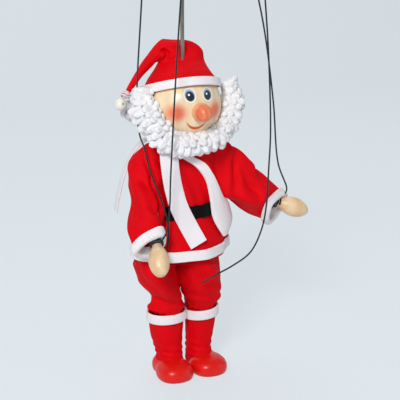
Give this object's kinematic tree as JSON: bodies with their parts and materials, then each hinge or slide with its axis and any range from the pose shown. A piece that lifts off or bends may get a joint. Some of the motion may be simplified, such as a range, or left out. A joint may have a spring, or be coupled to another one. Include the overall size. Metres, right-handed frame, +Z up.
{
  "type": "string puppet",
  "caption": "Small wooden string puppet in a red felt-trimmed suit and hat, with a curly white yarn beard, a sack, glossy red boots, a steel head rod and four black control strings.",
  "frame": {"origin": "crown of the inside of the head rod's hanging hook, where the part hangs", "axes": "+Z up along the head rod, -Y the way the puppet faces, +X to the puppet's own left"},
  "size_m": [0.1204, 0.0738, 0.2611],
  "materials": {
    "suit_cloth": "woven satin-faced cotton, matt",
    "white_felt": "felt",
    "white_yarn": "looped wool yarn",
    "black_felt": "felt",
    "black_thread": "braided thread",
    "white_thread": "cotton thread",
    "natural_wood": "clear lacquer",
    "hand_wood": "clear lacquer",
    "face_wood": "glossy clear lacquer, painted face",
    "nose_wood": "thin orange stain under lacquer",
    "boot_paint": "glossy red paint",
    "steel_wire": "bright drawn wire",
    "bead": "pearl"
  },
  "bodies": {
    "torso": {"torso_block": "natural_wood", "control_spine": "natural_wood", "control_crossbar": "natural_wood", "control_rivet": "steel_wire", "head_rod": "steel_wire", "right_hand_string": "black_thread", "left_hand_string": "black_thread", "right_knee_string": "black_thread", "left_knee_string": "black_thread", "shoulder_cord": "black_thread", "hip_pin": "steel_wire", "coat": "suit_cloth", "coat_hem_band": "white_felt", "belt": "black_felt", "scarf_front": "white_felt", "scarf_back": "white_felt", "sack": "white_felt", "sack_strap": "white_felt", "trousers_seat": "suit_cloth"},
    "head": {"head_ball": "face_wood", "nose": "nose_wood", "hat": "suit_cloth", "hat_band": "white_felt", "hat_tassel_knot": "white_thread", "hat_tassel_thread": "white_thread", "beard": "white_yarn", "hair": "white_yarn"},
    "tassel_bead": {"hat_bead": "bead"},
    "left_arm": {"left_arm": "natural_wood", "left_sleeve": "suit_cloth", "left_cuff": "white_felt", "left_wrist_cord": "black_thread"},
    "left_hand": {"left_hand": "hand_wood", "left_wrist_tie": "black_thread"},
    "left_thigh": {"left_thigh": "natural_wood", "left_trouser_leg": "suit_cloth"},
    "left_shin": {"left_shin": "natural_wood", "left_knee_pin": "steel_wire", "left_foot": "boot_paint", "left_boot_shaft": "suit_cloth", "left_boot_cuff": "white_felt"},
    "right_arm": {"right_arm": "natural_wood", "right_sleeve": "suit_cloth", "right_cuff": "white_felt", "right_wrist_cord": "black_thread"},
    "right_hand": {"right_hand": "hand_wood", "right_wrist_tie": "black_thread"},
    "right_thigh": {"right_thigh": "natural_wood", "right_trouser_leg": "suit_cloth"},
    "right_shin": {"right_shin": "natural_wood", "right_knee_pin": "steel_wire", "right_foot": "boot_paint", "right_boot_shaft": "suit_cloth", "right_boot_cuff": "white_felt"}
  },
  "joints": [
    {"name": "head_turn", "type": "hinge", "parent": "torso", "child": "head", "pos_m": [0, 0, -0.105], "axis": [0, 0, 1], "range_deg": [-40, 40], "deforming": ["beard", "hair"]},
    {"name": "tassel_swing", "type": "hinge", "parent": "head", "child": "tassel_bead", "pos_m": [-0.03261, 0.004, -0.10012], "axis": [0, 1, 0], "range_deg": [-30, 30]},
    {"name": "left_shoulder", "type": "hinge", "parent": "torso", "child": "left_arm", "pos_m": [0.018, 0.003, -0.132], "axis": [-0.2239, -0.9746, 0], "range_deg": [-30, 55], "deforming": ["left_sleeve", "left_cuff", "left_hand_string", "shoulder_cord", "coat", "sack_strap"]},
    {"name": "right_shoulder", "type": "hinge", "parent": "torso", "child": "right_arm", "pos_m": [-0.018, 0.003, -0.132], "axis": [-1, 0, 0], "range_deg": [0, 80], "deforming": ["right_sleeve", "right_cuff", "right_hand_string", "scarf_front"]},
    {"name": "left_wrist", "type": "hinge", "parent": "left_arm", "child": "left_hand", "pos_m": [0.05502, -0.0055, -0.16452], "axis": [-0.2239, -0.9746, 0], "range_deg": [-25, 25], "deforming": ["left_wrist_cord", "left_wrist_tie"]},
    {"name": "right_wrist", "type": "hinge", "parent": "right_arm", "child": "right_hand", "pos_m": [-0.02662, -0.0249, -0.17258], "axis": [-1, 0, 0], "range_deg": [-25, 25], "deforming": ["right_wrist_cord", "right_wrist_tie"]},
    {"name": "left_hip", "type": "hinge", "parent": "torso", "child": "left_thigh", "pos_m": [0.0105, 0, -0.185], "axis": [-1, 0, 0], "range_deg": [-15, 70], "deforming": ["left_knee_string", "coat_hem_band", "trousers_seat"]},
    {"name": "right_hip", "type": "hinge", "parent": "torso", "child": "right_thigh", "pos_m": [-0.0105, 0, -0.185], "axis": [-1, 0, 0], "range_deg": [-15, 70], "deforming": ["right_knee_string"]},
    {"name": "left_knee", "type": "hinge", "parent": "left_thigh", "child": "left_shin", "pos_m": [0.0105, 0, -0.213], "axis": [1, 0, 0], "range_deg": [0, 80], "deforming": ["left_trouser_leg"]},
    {"name": "right_knee", "type": "hinge", "parent": "right_thigh", "child": "right_shin", "pos_m": [-0.0105, 0, -0.213], "axis": [1, 0, 0], "range_deg": [0, 80], "deforming": ["right_trouser_leg"]}
  ]
}
